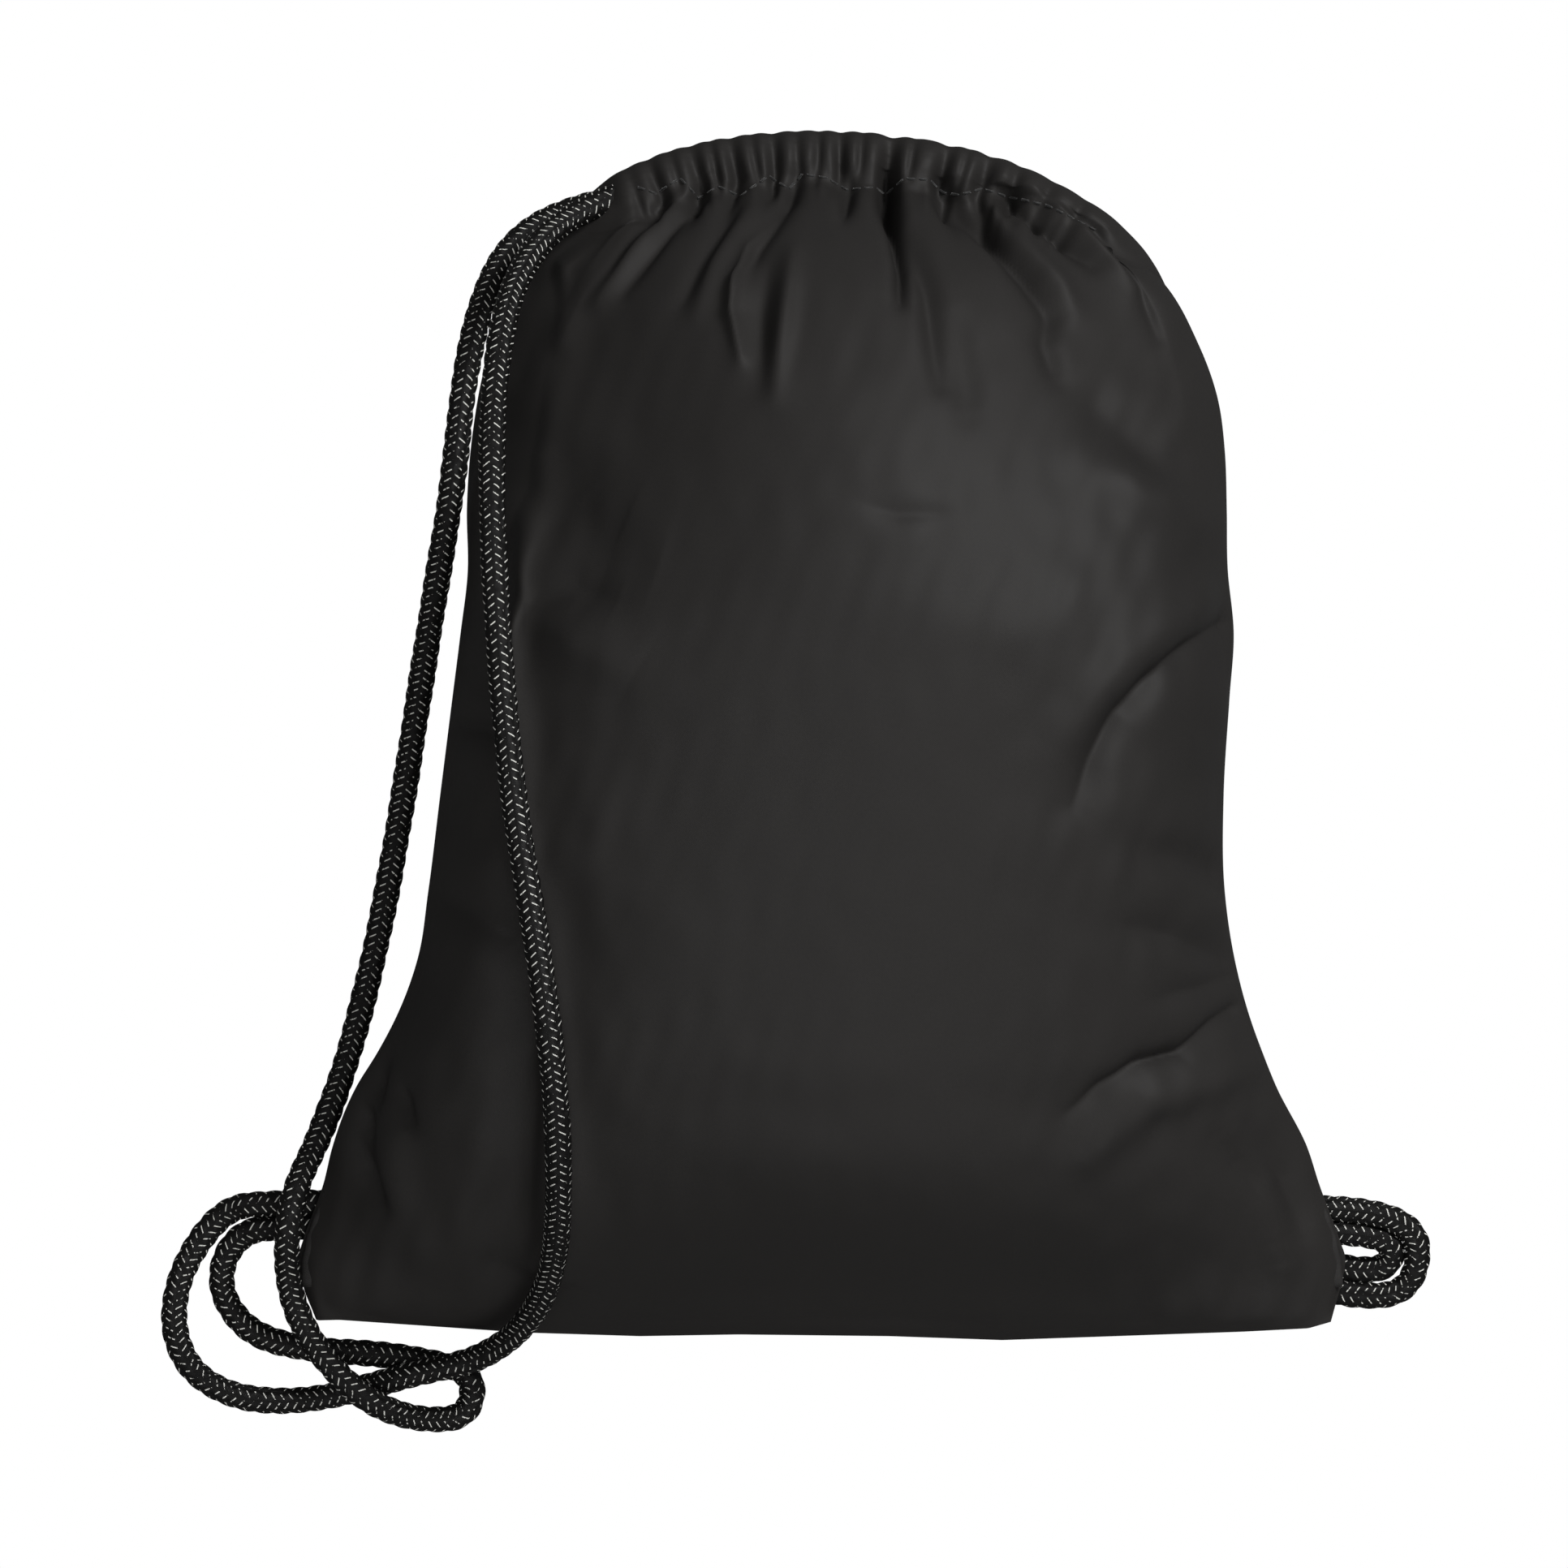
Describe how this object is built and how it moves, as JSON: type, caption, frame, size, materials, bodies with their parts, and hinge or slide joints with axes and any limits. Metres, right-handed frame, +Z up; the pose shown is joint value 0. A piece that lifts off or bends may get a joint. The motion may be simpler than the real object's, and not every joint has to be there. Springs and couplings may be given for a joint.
{
  "type": "drawstring backpack",
  "caption": "Soft fabric sack on its back, its gathered mouth hem drawn in by braided cords that run down to the bottom corners and serve as shoulder straps.",
  "frame": {"origin": "centre of the bag's footprint box, on the surface it lies on", "axes": "+X across the bag, +Y from its bottom edge to its mouth, +Z up out of its front panel"},
  "size_m": [0.4513, 0.4596, 0.138],
  "materials": {
    "bag_fabric": "satin",
    "tab_fabric": "matte",
    "cord": "satin"
  },
  "bodies": {
    "bag": {"front_panel": "bag_fabric", "back_panel": "bag_fabric", "back_hem_tunnel": "bag_fabric", "left_corner_tab": "tab_fabric", "right_corner_tab": "tab_fabric", "left_cord_in_back_hem": "cord", "left_cord_end_turn": "cord", "right_cord_in_back_hem": "cord", "right_cord_end_turn": "cord", "left_cord_tails": "cord", "right_cord_tails": "cord", "left_cord_inner_strand": "cord", "left_cord_outer_strand": "cord", "right_cord_inner_strand": "cord", "right_cord_outer_strand": "cord"},
    "mouth_front": {"front_hem_tunnel": "bag_fabric", "left_cord_in_front_hem": "cord", "right_cord_in_front_hem": "cord"}
  },
  "joints": [
    {"name": "mouth_opening", "type": "hinge", "parent": "bag", "child": "mouth_front", "pos_m": [0.01435, 0.18002, 0.0315], "axis": [0.996, -0.0898, 0], "range_deg": [0, 35]}
  ]
}
